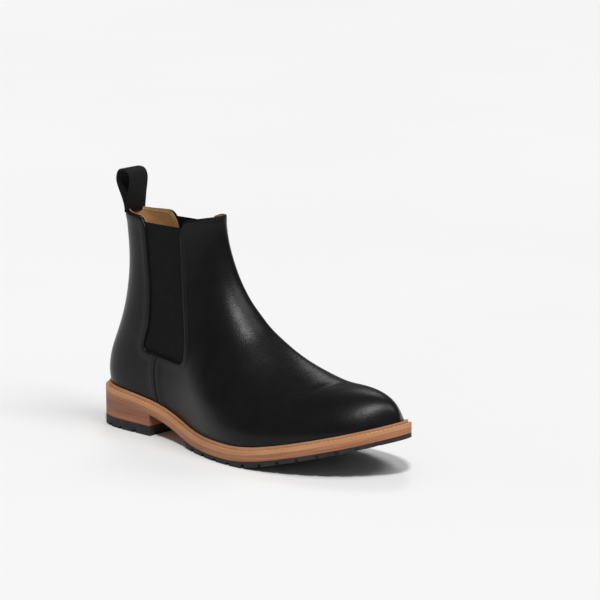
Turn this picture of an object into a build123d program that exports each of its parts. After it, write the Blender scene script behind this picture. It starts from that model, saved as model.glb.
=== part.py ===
from build123d import *
import os
import numpy as np

# Chelsea boot for the right foot, welted, with elastic gores and a webbing pull tab.
# Millimetres. +X points to the toe, +Y to the inner (medial) side, +Z up.
# Curves are written as distances from the back of the heel, then moved to the middle of the boot.

# ---- Driving dimensions ----
boot_length = 305.0
tab_width = 22.0
leather = 1.8            # thickness of each layer, measured in the slanted section planes
middle_layer = 1.4
lining_leather = 1.2
welt_thickness = 3.0
midsole_thickness = 5.0
welt_width = 5.0         # how far the welt stands out beyond the upper
bead_width = 2.4
bead_height = 2.6
rib_inset = 13.0         # the insole rib stands this far inside the edge of the sole
rib_thickness = 1.5
heel_breast = 68.0       # where the heel ends under the arch
heel_rubber = 8.3
heel_lift = 4.8
tread_start = 113.0
slot_width = 3.0
slot_depth = 2.4
slot_length = 9.0
sole_margin = 12.0       # how far the last solid runs on below the top of the welt
board_thickness = 2.5
foam_thickness = 3.0
sock_thickness = 1.2
shank_middle = 92.0
shank_length = 96.0
shank_width = 13.0
shank_thickness = 1.4
stitch_inset = 1.5
stitch_width = 0.9
stitch_groove = 0.7
stitch_rise = 0.4
nail_diameter = 2.4
nail_start = 4.5
nail_length = 17.0
fit_gap = 0.3

half_length = boot_length / 2
far = 90.0               # half-width of the cutting slabs, wider than the boot

# ---- Curves of the sole and the last ----
sole_outline_points = [
    (0, 0), (2.2, -13.5), (12, -24.5), (40, -31.5), (68, -32.5), (100, -37), (130, -47),
    (160, -55.5), (190, -58), (225, -53), (255, -43.5), (282, -28), (299, -10), (305, 5),
    (299, 19), (285, 31), (260, 41.5), (232, 46.5), (200, 45.5), (165, 38.5), (130, 31),
    (100, 29), (68, 32), (40, 31.5), (12, 24.5), (2.2, 13.5),
]
welt_top_points = [
    (-6, 31.9), (25, 30.6), (50, 28.2), (75, 24.4), (100, 18.2), (125, 13.2), (150, 12.2),
    (175, 12.4), (195, 14.3), (215, 18.1), (240, 24.1), (262, 30.0), (285, 36.6), (311, 45.2),
]
instep_points = [
    (299.7, 34), (299.7, 40), (298.6, 47), (294.5, 54.5), (286, 60.8), (273, 65), (258, 66.6),
    (244, 67), (232, 69.2), (218, 73), (202, 78.6), (184.7, 87), (168.9, 97), (155.7, 108),
    (143.8, 120.5), (134.3, 134.5), (126.1, 153), (121.6, 168), (119, 184), (115.3, 205),
    (110.1, 235), (104.1, 270), (99.1, 300),
]
heel_back_points = [
    (5.2, 20), (4.6, 34), (3.6, 44), (4.2, 52), (7.3, 64), (12.6, 77), (17.6, 90), (22, 107),
    (24.3, 125), (24.3, 140), (21.5, 162), (18.1, 181), (13.3, 205), (5.6, 235),
]
toe_lean = 5.0           # the toe's middle stands this far towards the medial side

# Shape numbers of the last, each as (where, value) pairs that are joined by straight runs.
fullness_by_height = [(-20, 1), (0, 1), (6, 1.03), (14, 1.05), (30, 1.055), (60, 1.03),
                      (90, 0.96), (120, 0.86), (150, 0.76), (200, 0.70)]
shaft_stretch_by_height = [(40, 1.0), (100, 0.92), (180, 0.82), (240, 0.82)]
stretch_fade_by_length = [(90, 1), (190, 0)]
crown_power = [(-150, 2.0), (0, 1.9), (60, 1.75), (130, 1.8), (200, 2.1), (260, 2.3)]
crown_root = [(-150, 1.9), (0, 1.75), (60, 1.65), (130, 1.65), (200, 1.9), (260, 2.0)]
crown_depth = [(-150, 0.29), (-60, 0.29), (-15, 0.34), (20, 0.44), (60, 0.60), (130, 0.82),
               (200, 0.97), (260, 1.0)]
section_stations = [-205, -180, -155, -130, -105, -80, -57, -35, -14, 8, 30, 52, 75, 98, 120,
                    140, 160, 178, 194, 208, 221, 233, 243, 257]

# ---- Side-view outlines of the upper ----
gore_window_points = [(38, 212), (47.7, 177.3), (53.8, 167.8), (63.1, 121.3), (63.3, 91.9),
                      (55.6, 68.8), (106.8, 64.6), (104.7, 83.8), (96.2, 124.2), (91.4, 168.3),
                      (97, 182), (102, 212)]
gore_window_radii = [0, 0, 12, 90, 40, 7, 7, 60, 200, 12, 0, 0]
gore_cloth_points = [(47, 172), (57, 121.3), (57.3, 91.9), (48.6, 62.6), (112.4, 58.2),
                     (110.9, 83.8), (102.4, 124.2), (97.6, 172)]
gore_cloth_radii = [0, 90, 40, 5, 5, 60, 200, 0]
side_seam_points = [(80, 240), (80, 120), (74, 70), (70.6, 55), (71.3, 43), (73.4, 30), (75, 5)]
back_top = 176.2
front_top_points = [(86, 177.2), (96, 178.8), (107, 181.2), (118, 183), (135, 184.6)]
puff_edge_points = [(262, 90), (252, 60), (246, 20)]
counter_edge_points = [(-20, 66), (20, 64), (40, 57), (56, 42), (66, 28), (72, 10)]

# ---- Tread, heel and pull tab ----
tread_bottom_points = [(112, 9), (114.5, 5.5), (118, 2.4), (124, 0.7), (134, 0), (150, 0),
                       (175, 0), (190, 0.9), (205, 3.2), (225, 8.2), (245, 13.6), (262, 18.2),
                       (285, 25), (313, 33.6)]
tread_slot_places = [128, 144, 160, 176, 192, 208, 224, 240, 256, 270, 283, 294]
heel_slot_places = [8, 20, 34, 50]
heel_nail_places = [(16, 0), (24, -14), (24, 14), (50, -15), (50, 15), (36, 0)]
tab_foot_radius = 1.5
tab_foot_x = 20.5
tab_anchor_depth = 30.0
tab_outer_points = [(0, -1.5), (1.5, 0.6), (2.6, 5), (4.8, 11), (7.6, 18), (7.9, 25), (5, 29.4),
                    (0, 30.4)]
tab_inner_points = [(0, 4), (1.4, 7), (3.6, 12.2), (5.9, 18.4), (6.1, 24.4), (3.9, 27.8), (0, 28.6)]

# ---- Helpers that work on numbers ----


def run(pairs, where):
    """Value of a list of pairs at one place, or at many."""
    return np.interp(where, [pair[0] for pair in pairs], [pair[1] for pair in pairs])


def sampled(points, count, closed=False):
    """Points and directions at even steps along a smooth curve."""
    curve = Spline(*points, periodic=closed)
    steps = [i / count for i in range(count if closed else count + 1)]
    places = np.array([tuple(curve @ step)[:2] for step in steps])
    directions = np.array([tuple(curve % step)[:2] for step in steps])
    return places, directions


def inset_points(places, directions, inset):
    """Points moved to the left of their direction, which is inwards on a loop that turns left."""
    return places + inset * np.column_stack([-directions[:, 1], directions[:, 0]])


outline_places, outline_directions = sampled(sole_outline_points, 240, closed=True)
side_shift = -(outline_places[:, 1].max() + outline_places[:, 1].min()) / 2
welt_top_curve = sampled(welt_top_points, 160)[0]
instep_curve = sampled(instep_points, 200)[0]
heel_back_curve = sampled(heel_back_points, 160)[0]


def welt_top(x):
    return np.interp(x, welt_top_curve[:, 0], welt_top_curve[:, 1])


def middle_line(x):
    return np.interp(x, [0, 60, boot_length], [0, 0, toe_lean])


def feather_halves():
    """The upper's plan edge as two runs of points, lateral and medial, from heel to toe."""
    edge = inset_points(outline_places, outline_directions, welt_width)
    lateral = edge[edge[:, 1] <= middle_line(edge[:, 0])]
    medial = edge[edge[:, 1] > middle_line(edge[:, 0])]
    return [half[half[:, 0].argsort()] for half in (lateral, medial)]


feather_lateral, feather_medial = feather_halves()


def underside_curve():
    """Lower end of every section: below the sole from toe to heel, then up the heel's back."""
    x = np.linspace(instep_points[0][0], heel_back_points[0][0], 200)
    return np.vstack([np.column_stack([x, welt_top(x) - sole_margin]), heel_back_curve[1:]])


underside = underside_curve()


def on_station(curve, station):
    """Where a side-view curve meets the slanted plane x - z = station."""
    stations = curve[:, 0] - curve[:, 1]
    order = stations.argsort()
    return np.array([np.interp(station, stations[order], curve[order, i]) for i in (0, 1)])


def half_width(x, z, edge):
    """Distance from the middle line to the side wall, before the section closes at its crown."""
    back = np.interp(z, heel_back_curve[:, 1], heel_back_curve[:, 0])
    shaft_x = 5 + run(shaft_stretch_by_height, z) * (x - back)
    fade = run(stretch_fade_by_length, x)
    plan_x = fade * shaft_x + (1 - fade) * x
    return np.interp(plan_x, edge[:, 0], edge[:, 1]) - middle_line(x)


def section_half(station, edge, count):
    """One side of a section, from its lower end to its crown, as x, y, z."""
    low = on_station(underside, station)
    crown = on_station(instep_curve, station)
    share = (1 - np.cos(np.pi * np.arange(count + 1) / count)) / 2
    x, z = (low + share[:, None] * (crown - low)).T
    above = z - welt_top(x)
    span = np.hypot(*(crown - low))
    from_crown = span * (1 - share)
    visible = span * (1 - np.interp(0, above, share)) if above[0] < 0 else span
    depth = visible * run(crown_depth, station)
    closing = 1 - (1 - np.clip(from_crown / depth, 0, 1)) ** run(crown_power, station)
    closing = closing ** (1 / run(crown_root, station))
    below = np.clip(-above / sole_margin, 0, 1)
    wall = half_width(x, z, edge) * run(fullness_by_height, above) * closing
    return np.column_stack([x, middle_line(x) + wall * np.sqrt(1 - below ** 4), z])


def section_loop(station, inset, count=60, skip=6):
    """Closed outline of a section in its own plane: along the slant, and across the boot."""
    lateral = section_half(station, feather_lateral, count)
    medial = section_half(station, feather_medial, count)
    loop = np.vstack([lateral, medial[-2:0:-1]])
    flat = np.column_stack([loop[:, 2] * np.sqrt(2), loop[:, 1]])
    ahead = np.roll(flat, -1, axis=0) - np.roll(flat, 1, axis=0)
    ahead /= np.hypot(ahead[:, 0], ahead[:, 1])[:, None]
    return [tuple(place) for place in inset_points(flat, ahead, inset)[::skip].tolist()]


def section_plane(station):
    origin = (station - half_length, side_shift, 0)
    return Plane(origin=origin, x_dir=(1, 0, 1), z_dir=(-1, 0, 1))


def side(points):
    """Side-view points placed along the boot."""
    return [(x - half_length, z) for x, z in points]


def welt_top_offset(height, start, end):
    """Points of the welt's top line, raised by a height."""
    steps = np.linspace(start, end, 16)
    return side([(x, welt_top(x) + height) for x in steps])


# ---- Helpers that make cutting solids ----


def evenly_timed_loop(points):
    """A closed spline with even parameters, so that a loft through many of them stays simple."""
    steps = [i / len(points) for i in range(len(points) + 1)]
    return Edge.make_spline(points, periodic=True, parameters=steps)


def last_solid(inset):
    """The last, shrunk by an inset, as one loft through slanted sections."""
    with BuildPart() as last:
        for station in section_stations:
            with BuildSketch(section_plane(station)):
                with BuildLine():
                    add(evenly_timed_loop(section_loop(station, inset)))
                make_face()
        loft(clean=False)
    return last.part


def sole_band(low, high, start=-6.0, end=boot_length + 6):
    """A slab that follows the welt's top line, between two heights from it."""
    with BuildPart() as band:
        with BuildSketch(Plane.XZ):
            with BuildLine():
                bottom = Spline(*welt_top_offset(low, start, end))
                top = Spline(*welt_top_offset(high, start, end))
                Line(bottom @ 0, top @ 0)
                Line(bottom @ 1, top @ 1)
            make_face()
        extrude(amount=far, both=True)
    return band.part


def plan_block(inset, low=-2.0, high=80.0):
    """The sole's outline, inset evenly, as an upright block."""
    edge = inset_points(outline_places, outline_directions, inset)[::5]
    placed = [(x - half_length, y + side_shift) for x, y in edge.tolist()]
    with BuildPart() as block:
        with BuildSketch(Plane.XY.offset(low)):
            with BuildLine():
                Spline(*placed, periodic=True)
            make_face()
        extrude(amount=high - low)
    return block.part


def rounded_face(points, radii=0.0):
    """A side-view face with rounded corners, for a sketch to add or take away."""
    with BuildSketch() as face:
        with BuildLine():
            FilletPolyline(*side(points), radius=radii, close=True)
        make_face()
    return face.sketch


def curved_face(curve_points, corner_points):
    """A side-view face between a smooth curve and a few straight corners."""
    with BuildSketch() as face:
        with BuildLine():
            edge = Spline(*side(curve_points))
            Polyline(edge @ 1, *side(corner_points), edge @ 0)
        make_face()
    return face.sketch


def cut_piece(shell, keep=(), remove=()):
    """A shell kept only inside some blocks and outside others."""
    with BuildPart() as piece:
        add(shell)
        for block in keep:
            add(block, mode=Mode.INTERSECT, clean=False)
        for block in remove:
            add(block, mode=Mode.SUBTRACT, clean=False)
    return piece.part


os.makedirs("parts", exist_ok=True)

# ---- Cutting solids that the pieces share ----
flange_top = leather
lining_flange_top = leather + lining_leather
board_top = lining_flange_top + board_thickness
foam_top = board_top + foam_thickness
sock_top = foam_top + sock_thickness

outer_last = last_solid(0)
middle_last = last_solid(leather)
lining_last = last_solid(leather + middle_layer)
inner_last = last_solid(leather + middle_layer + lining_leather)
above_welt = sole_band(0, 320, start=-40, end=boot_length + 30)
above_flange = sole_band(flange_top, 320, start=-40, end=boot_length + 30)
above_lining_flange = sole_band(lining_flange_top, 320, start=-40, end=boot_length + 30)
below_midsole = sole_band(-60, -welt_thickness - midsole_thickness)
whole_sole = plan_block(0)
edge_only = plan_block(slot_length)
inside_rib = plan_block(rib_inset)
inside_filler = plan_block(rib_inset + rib_thickness)
outer_above_welt = cut_piece(outer_last, keep=[above_welt])

# ---- Heel, midsole and tread ----
with BuildPart() as heel_nails:
    with BuildSketch(Plane.XY.offset(nail_start)):
        with Locations(*[(x - half_length, y + side_shift) for x, y in heel_nail_places]):
            Circle(nail_diameter / 2)
    extrude(amount=nail_length)
heel_nails.part.label = "heel_nails"
export_step(heel_nails.part, "parts/heel_nails.step")

heel_height = 40
with BuildPart() as heel_block:
    with BuildSketch(Plane.XZ):
        add(rounded_face([(-10, 0), (heel_breast, 0), (heel_breast - 1.5, heel_height), (-10, heel_height)]))
    extrude(amount=far, both=True)
whole_heel = cut_piece(whole_sole, keep=[heel_block.part, below_midsole], remove=[heel_nails.part])


def heel_layer(low, high):
    """One flat layer of the heel, from one height to another."""
    with BuildPart() as layer:
        add(whole_heel)
        with BuildSketch(Plane.XY.offset(low)):
            Rectangle(3 * boot_length, 2 * far)
        extrude(amount=high - low, mode=Mode.INTERSECT, clean=False)
    return layer.part


def edge_slots(places, low, high):
    """Short slots through the edge of the rubber, standing in a height range."""
    with BuildPart() as slots:
        with BuildSketch(Plane.XY.offset(low)):
            with Locations(*[(x - half_length, side_shift) for x in places]):
                Rectangle(slot_width, 2 * far)
        extrude(amount=high - low)
        add(edge_only, mode=Mode.SUBTRACT, clean=False)
    return slots.part


with BuildPart() as heel_top_lift:
    add(heel_layer(0, heel_rubber))
    add(edge_slots(heel_slot_places, -5, slot_depth), mode=Mode.SUBTRACT, clean=False)
heel_top_lift.part.label = "heel_top_lift"
export_step(heel_top_lift.part, "parts/heel_top_lift.step")

with BuildPart() as heel_lift_lower:
    add(heel_layer(heel_rubber, heel_rubber + heel_lift))
heel_lift_lower.part.label = "heel_lift_lower"
export_step(heel_lift_lower.part, "parts/heel_lift_lower.step")

with BuildPart() as heel_lift_upper:
    add(heel_layer(heel_rubber + heel_lift, heel_height))
heel_lift_upper.part.label = "heel_lift_upper"
export_step(heel_lift_upper.part, "parts/heel_lift_upper.step")

with BuildPart() as midsole:
    add(whole_sole)
    add(sole_band(-welt_thickness - midsole_thickness, -welt_thickness), mode=Mode.INTERSECT)
    add(heel_nails.part, mode=Mode.SUBTRACT)
midsole.part.label = "midsole"
export_step(midsole.part, "parts/midsole.step")

with BuildPart() as tread_profile:
    with BuildSketch(Plane.XZ):
        add(curved_face(tread_bottom_points, [(boot_length + 8, 60), (tread_start, 60)]))
    extrude(amount=far, both=True)
with BuildPart() as below_slots:
    with BuildSketch(Plane.XZ):
        raised = [(x, z + slot_depth) for x, z in tread_bottom_points]
        add(curved_face(raised, [(boot_length + 8, -5), (tread_start - 1, -5)]))
    extrude(amount=far, both=True)
tread_slots = cut_piece(edge_slots(tread_slot_places, -5, 60), keep=[below_slots.part])
with BuildPart() as forefoot_tread:
    add(whole_sole)
    add(tread_profile.part, mode=Mode.INTERSECT)
    add(below_midsole, mode=Mode.INTERSECT)
    add(tread_slots, mode=Mode.SUBTRACT)
forefoot_tread.part.label = "forefoot_tread"
export_step(forefoot_tread.part, "parts/forefoot_tread.step")

# ---- Welt, its thread and what the welt surrounds ----
with BuildPart() as welt_stitching:
    add(plan_block(stitch_inset))
    add(plan_block(stitch_inset + stitch_width), mode=Mode.SUBTRACT)
    add(sole_band(-stitch_groove, stitch_rise), mode=Mode.INTERSECT)
welt_stitching.part.label = "welt_stitching"
export_step(welt_stitching.part, "parts/welt_stitching.step")

above_lip = cut_piece(sole_band(0, 20), remove=[plan_block(welt_width - bead_width)])
with BuildPart() as welt:
    add(whole_sole)
    add(sole_band(-welt_thickness, bead_height), mode=Mode.INTERSECT, clean=False)
    add(above_lip, mode=Mode.SUBTRACT, clean=False)
    add(inside_rib, mode=Mode.SUBTRACT, clean=False)
    add(outer_above_welt, mode=Mode.SUBTRACT, clean=False)
    add(welt_stitching.part, mode=Mode.SUBTRACT, clean=False)
welt.part.label = "welt"
export_step(welt.part, "parts/welt.step")

with BuildPart() as shank:
    with BuildSketch():
        with Locations((shank_middle - half_length, side_shift)):
            RectangleRounded(shank_length, shank_width, 5)
    extrude(amount=60)
    add(sole_band(-shank_thickness / 2, shank_thickness / 2), mode=Mode.INTERSECT)
shank.part.label = "shank"
export_step(shank.part, "parts/shank.step")

filler_band = sole_band(-welt_thickness, lining_flange_top)
with BuildPart() as cork_filler:
    add(inside_filler)
    add(filler_band, mode=Mode.INTERSECT)
    add(shank.part, mode=Mode.SUBTRACT)
cork_filler.part.label = "cork_filler"
export_step(cork_filler.part, "parts/cork_filler.step")

with BuildPart() as insole_rib:
    add(inside_rib)
    add(inside_filler, mode=Mode.SUBTRACT)
    add(filler_band, mode=Mode.INTERSECT)
insole_rib.part.label = "insole_rib"
export_step(insole_rib.part, "parts/insole_rib.step")

with BuildPart() as insole_board:
    add(inner_last)
    add(sole_band(lining_flange_top, board_top), mode=Mode.INTERSECT)
insole_board.part.label = "insole_board"
export_step(insole_board.part, "parts/insole_board.step")

with BuildPart() as footbed_foam:
    add(inner_last)
    add(sole_band(board_top, foam_top), mode=Mode.INTERSECT)
footbed_foam.part.label = "footbed_foam"
export_step(footbed_foam.part, "parts/footbed_foam.step")

with BuildPart() as footbed_leather:
    add(inner_last)
    add(sole_band(foam_top, sock_top), mode=Mode.INTERSECT)
footbed_leather.part.label = "footbed_leather"
export_step(footbed_leather.part, "parts/footbed_leather.step")

# ---- Upper: side-view areas of the panels, each cut right across the boot ----
front_corners = [(420, 185), (420, -5), (60, -5), (60, 179.4)]
behind_corners = [(-60, 5), (-60, 240)]
back_corners = [(-60, -5), (100, -5), (100, back_top), (-60, back_top)]
with BuildPart() as front_area:
    with BuildSketch(Plane.XZ):
        add(curved_face(front_top_points, front_corners))
        add(curved_face(side_seam_points, behind_corners), mode=Mode.SUBTRACT)
        add(rounded_face(gore_window_points, gore_window_radii), mode=Mode.SUBTRACT)
    extrude(amount=far, both=True)
with BuildPart() as back_area:
    with BuildSketch(Plane.XZ):
        add(rounded_face(back_corners))
        add(curved_face(side_seam_points, behind_corners), mode=Mode.INTERSECT)
        add(rounded_face(gore_window_points, gore_window_radii), mode=Mode.SUBTRACT)
    extrude(amount=far, both=True)
with BuildPart() as gore_area:
    with BuildSketch(Plane.XZ):
        add(rounded_face(gore_cloth_points, gore_cloth_radii))
    extrude(amount=far, both=True)
with BuildPart() as puff_area:
    with BuildSketch(Plane.XZ):
        add(curved_face(puff_edge_points, [(420, 20), (420, 90)]))
    extrude(amount=far, both=True)
with BuildPart() as counter_area:
    with BuildSketch(Plane.XZ):
        add(curved_face(counter_edge_points, [(-60, 10), (-60, 66)]))
    extrude(amount=far, both=True)
with BuildPart() as front_middle_area:
    with BuildSketch(Plane.XZ):
        add(curved_face(front_top_points, front_corners))
        add(curved_face(side_seam_points, behind_corners), mode=Mode.SUBTRACT)
        add(rounded_face(gore_cloth_points, gore_cloth_radii), mode=Mode.SUBTRACT)
        add(curved_face(puff_edge_points, [(420, 20), (420, 90)]), mode=Mode.SUBTRACT)
    extrude(amount=far, both=True)
with BuildPart() as back_middle_area:
    with BuildSketch(Plane.XZ):
        add(rounded_face(back_corners))
        add(curved_face(side_seam_points, behind_corners), mode=Mode.INTERSECT)
        add(rounded_face(gore_cloth_points, gore_cloth_radii), mode=Mode.SUBTRACT)
        add(curved_face(counter_edge_points, [(-60, 10), (-60, 66)]), mode=Mode.SUBTRACT)
    extrude(amount=far, both=True)
with BuildPart() as anchor_area:
    with BuildSketch(Plane.XY.offset(back_top - tab_anchor_depth)):
        with Locations((-half_length, side_shift)):
            Rectangle(100, tab_width - 2)
    extrude(amount=tab_anchor_depth)

# Each skin is a solid last with the next one in taken out of it. Its flange, turned in
# under the insole, is what is left below the next one, and it ends at the insole's rib.
middle_above_flange = cut_piece(middle_last, keep=[above_flange])
rib_hole = cut_piece(inside_rib, keep=[sole_band(-5, lining_flange_top)])
outer_shell = cut_piece(outer_above_welt, remove=[middle_above_flange, rib_hole])
middle_shell = cut_piece(middle_above_flange, remove=[lining_last])
lining_shell = cut_piece(
    lining_last,
    keep=[above_flange],
    remove=[cut_piece(inner_last, keep=[above_lining_flange]), rib_hole],
)

with BuildPart() as front_panel:
    add(outer_shell)
    add(front_area.part, mode=Mode.INTERSECT, clean=False)
front_panel.part.label = "front_panel"
export_step(front_panel.part, "parts/front_panel.step")

with BuildPart() as back_panel:
    add(outer_shell)
    add(back_area.part, mode=Mode.INTERSECT, clean=False)
back_panel.part.label = "back_panel"
export_step(back_panel.part, "parts/back_panel.step")

both_gores = cut_piece(middle_shell, keep=[gore_area.part]).solids().sort_by(Axis.Y)
with BuildPart() as lateral_gore:
    add(both_gores[0])
lateral_gore.part.label = "lateral_gore"
export_step(lateral_gore.part, "parts/lateral_gore.step")

with BuildPart() as medial_gore:
    add(both_gores[-1])
medial_gore.part.label = "medial_gore"
export_step(medial_gore.part, "parts/medial_gore.step")

with BuildPart() as toe_puff:
    add(middle_shell)
    add(puff_area.part, mode=Mode.INTERSECT, clean=False)
toe_puff.part.label = "toe_puff"
export_step(toe_puff.part, "parts/toe_puff.step")

with BuildPart() as heel_counter:
    add(middle_shell)
    add(counter_area.part, mode=Mode.INTERSECT, clean=False)
heel_counter.part.label = "heel_counter"
export_step(heel_counter.part, "parts/heel_counter.step")

with BuildPart() as pull_tab_anchor:
    add(middle_shell)
    add(anchor_area.part, mode=Mode.INTERSECT, clean=False)
pull_tab_anchor.part.label = "pull_tab_anchor"
export_step(pull_tab_anchor.part, "parts/pull_tab_anchor.step")

with BuildPart() as front_interlining:
    add(middle_shell)
    add(front_middle_area.part, mode=Mode.INTERSECT, clean=False)
front_interlining.part.label = "front_interlining"
export_step(front_interlining.part, "parts/front_interlining.step")

with BuildPart() as back_interlining:
    add(middle_shell)
    add(back_middle_area.part, mode=Mode.INTERSECT, clean=False)
    add(anchor_area.part, mode=Mode.SUBTRACT, clean=False)
back_interlining.part.label = "back_interlining"
export_step(back_interlining.part, "parts/back_interlining.step")

with BuildPart() as front_lining:
    add(lining_shell)
    add(front_area.part, mode=Mode.INTERSECT, clean=False)
front_lining.part.label = "front_lining"
export_step(front_lining.part, "parts/front_lining.step")

with BuildPart() as back_lining:
    add(lining_shell)
    add(back_area.part, mode=Mode.INTERSECT, clean=False)
back_lining.part.label = "back_lining"
export_step(back_lining.part, "parts/back_lining.step")

# ---- Pull tab: a loop of webbing that swings on its sewn foot ----
tab_foot_z = back_top + fit_gap + tab_foot_radius


def tab_outline(points):
    """One half of the loop's side view, mirrored to a closed ring of points."""
    right = [(tab_foot_x + x - half_length, tab_foot_z + z) for x, z in points]
    left = [(tab_foot_x - x - half_length, tab_foot_z + z) for x, z in points[-2:0:-1]]
    return right + left


with BuildPart() as pull_tab:
    with BuildSketch(Plane.XZ.offset(-side_shift)):
        with BuildLine():
            Spline(*tab_outline(tab_outer_points), periodic=True)
        make_face()
        with BuildLine():
            Spline(*tab_outline(tab_inner_points), periodic=True)
        make_face(mode=Mode.SUBTRACT)
    extrude(amount=tab_width / 2, both=True)
pull_tab.part.label = "pull_tab"
export_step(pull_tab.part, "parts/pull_tab.step")
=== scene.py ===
import math

import bmesh
import bpy
import numpy as np
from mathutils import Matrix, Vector
from mathutils.geometry import delaunay_2d_cdt
from mathutils.kdtree import KDTree


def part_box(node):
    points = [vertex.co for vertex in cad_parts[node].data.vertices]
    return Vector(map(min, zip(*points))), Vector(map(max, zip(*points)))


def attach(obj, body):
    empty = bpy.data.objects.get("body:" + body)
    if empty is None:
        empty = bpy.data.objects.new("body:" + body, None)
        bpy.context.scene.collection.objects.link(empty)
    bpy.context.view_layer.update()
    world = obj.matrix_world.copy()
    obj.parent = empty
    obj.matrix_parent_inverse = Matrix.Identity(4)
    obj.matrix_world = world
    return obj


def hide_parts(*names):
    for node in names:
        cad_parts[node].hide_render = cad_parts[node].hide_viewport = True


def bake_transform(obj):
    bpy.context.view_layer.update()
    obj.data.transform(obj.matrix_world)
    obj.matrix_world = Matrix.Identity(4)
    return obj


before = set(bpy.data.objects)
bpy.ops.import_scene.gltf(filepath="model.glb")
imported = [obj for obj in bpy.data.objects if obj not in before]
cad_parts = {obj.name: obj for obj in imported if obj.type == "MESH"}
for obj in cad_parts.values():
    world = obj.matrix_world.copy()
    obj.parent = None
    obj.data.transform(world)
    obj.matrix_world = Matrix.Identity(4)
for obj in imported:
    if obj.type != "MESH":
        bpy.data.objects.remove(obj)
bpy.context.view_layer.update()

# Chelsea boot, right foot. The last's curves are the CAD model's own, in millimetres from the
# back of the heel, and every mesh is moved to the frame, in metres, when it is made.
MM = 0.001
LENGTH = 305.0
TAU = 2 * math.pi

# ---- Curves of the sole and the last, millimetres ----
SOLE_OUTLINE = [
    (0, 0), (2.2, -13.5), (12, -24.5), (40, -31.5), (68, -32.5), (100, -37), (130, -47),
    (160, -55.5), (190, -58), (225, -53), (255, -43.5), (282, -28), (299, -10), (305, 5),
    (299, 19), (285, 31), (260, 41.5), (232, 46.5), (200, 45.5), (165, 38.5), (130, 31),
    (100, 29), (68, 32), (40, 31.5), (12, 24.5), (2.2, 13.5),
]
WELT_TOP = [
    (-6, 31.9), (25, 30.6), (50, 28.2), (75, 24.4), (100, 18.2), (125, 13.2), (150, 12.2),
    (175, 12.4), (195, 14.3), (215, 18.1), (240, 24.1), (262, 30.0), (285, 36.6), (311, 45.2),
]
INSTEP = [
    (299.7, 34), (299.7, 40), (298.6, 47), (294.5, 54.5), (286, 60.8), (273, 65), (258, 66.6),
    (244, 67), (232, 69.2), (218, 73), (202, 78.6), (184.7, 87), (168.9, 97), (155.7, 108),
    (143.8, 120.5), (134.3, 134.5), (126.1, 153), (121.6, 168), (119, 184), (115.3, 205),
    (110.1, 235), (104.1, 270), (99.1, 300),
]
HEEL_BACK = [
    (5.2, 20), (4.6, 34), (3.6, 44), (4.2, 52), (7.3, 64), (12.6, 77), (17.6, 90), (22, 107),
    (24.3, 125), (24.3, 140), (21.5, 162), (18.1, 181), (13.3, 205), (5.6, 235),
]
# Half width of the last against height above the welt, as a share of the half width inside the welt.
FULLNESS = [(-20, 1), (0, 1), (6, 1.03), (14, 1.05), (30, 1.055), (60, 1.03), (90, 0.96),
            (120, 0.86), (150, 0.76), (200, 0.70)]
# Higher up, the outline is read nearer its back: STRETCH is against height, and STRETCH_FADE, against x,
# is how much of that holds.
STRETCH = [(40, 1.0), (100, 0.92), (180, 0.82), (240, 0.82)]
STRETCH_FADE = [(90, 1), (190, 0)]
# How a section closes towards its crown, against the station x - z: two exponents, and the share of the
# section over which it closes.
CROWN_POWER = [(-150, 2.0), (0, 1.9), (60, 1.75), (130, 1.8), (200, 2.1), (260, 2.3)]
CROWN_ROOT = [(-150, 1.9), (0, 1.75), (60, 1.65), (130, 1.65), (200, 1.9), (260, 2.0)]
CROWN_DEPTH = [(-150, 0.29), (-60, 0.29), (-15, 0.34), (20, 0.44), (60, 0.60), (130, 0.82),
               (200, 0.97), (260, 1.0)]
SOLE_MARGIN = 12.0     # how far the last's underside lies below the welt's top
TOE_LEAN = 5.0         # how far the middle line leans sideways at the toe
WELT_WIDTH = 5.0
TOE_STATION = 257.0    # the foremost station of the front panel's lower edge

# ---- Side-view outlines of the upper, millimetres ----
GORE_REAR = [(38, 212), (47.7, 177.3), (53.8, 167.8), (63.1, 121.3), (63.3, 91.9), (55.6, 68.8),
             (73.5, 67.33)]
GORE_REAR_RADII = [12, 12, 90, 40, 8]
GORE_FRONT = [(73.5, 67.33), (106.8, 64.6), (104.7, 83.8), (96.2, 124.2), (91.4, 168.3),
              (97, 182), (102, 212)]
GORE_FRONT_RADII = [9, 60, 200, 12, 0]
SIDE_SEAM = [(73.5, 67.33), (71.4, 60), (70.6, 53), (71.3, 43), (73.4, 30), (75, 5)]
FRONT_TOP = [(60, 176.2), (86, 177.2), (96, 178.8), (107, 181.2), (118, 183), (135, 184.6)]
BACK_TOP = 176.2


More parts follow.
